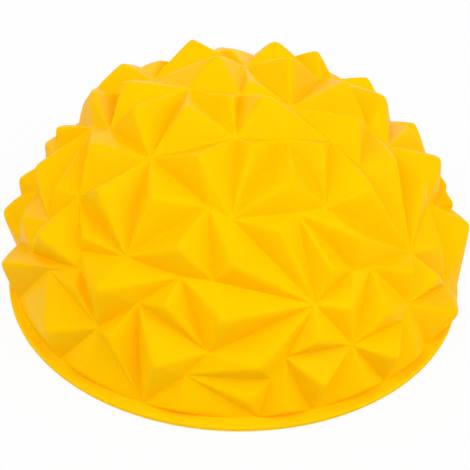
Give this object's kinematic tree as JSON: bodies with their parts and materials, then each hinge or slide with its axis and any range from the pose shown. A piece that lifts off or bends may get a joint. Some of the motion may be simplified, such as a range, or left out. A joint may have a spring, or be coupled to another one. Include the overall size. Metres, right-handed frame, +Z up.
{
  "type": "sensory half ball",
  "caption": "Soft hollow half ball with a net of raised pyramids over its dome and a flat base that holds an air plug.",
  "frame": {"origin": "middle of the round base, on the ground", "axes": "+Z up through the crown of the dome; -Y is the side that faces the viewer in the picture, +X is the viewer's right"},
  "size_m": [0.1653, 0.16, 0.0807],
  "materials": {
    "soft_yellow": "satin soft PVC, with a slight gloss on the ridges",
    "sheet_yellow": "satin soft PVC sheet",
    "plug_white": "matt, off-white"
  },
  "bodies": {
    "ball": {"spiked_dome": "soft_yellow", "base_disc": "sheet_yellow", "valve_seat": "sheet_yellow"},
    "plug": {"valve_plug": "plug_white"}
  },
  "joints": [
    {"name": "plug_pull", "type": "slide", "parent": "ball", "child": "plug", "axis": [0, 0, -1], "range_m": [0, 0.016]}
  ]
}
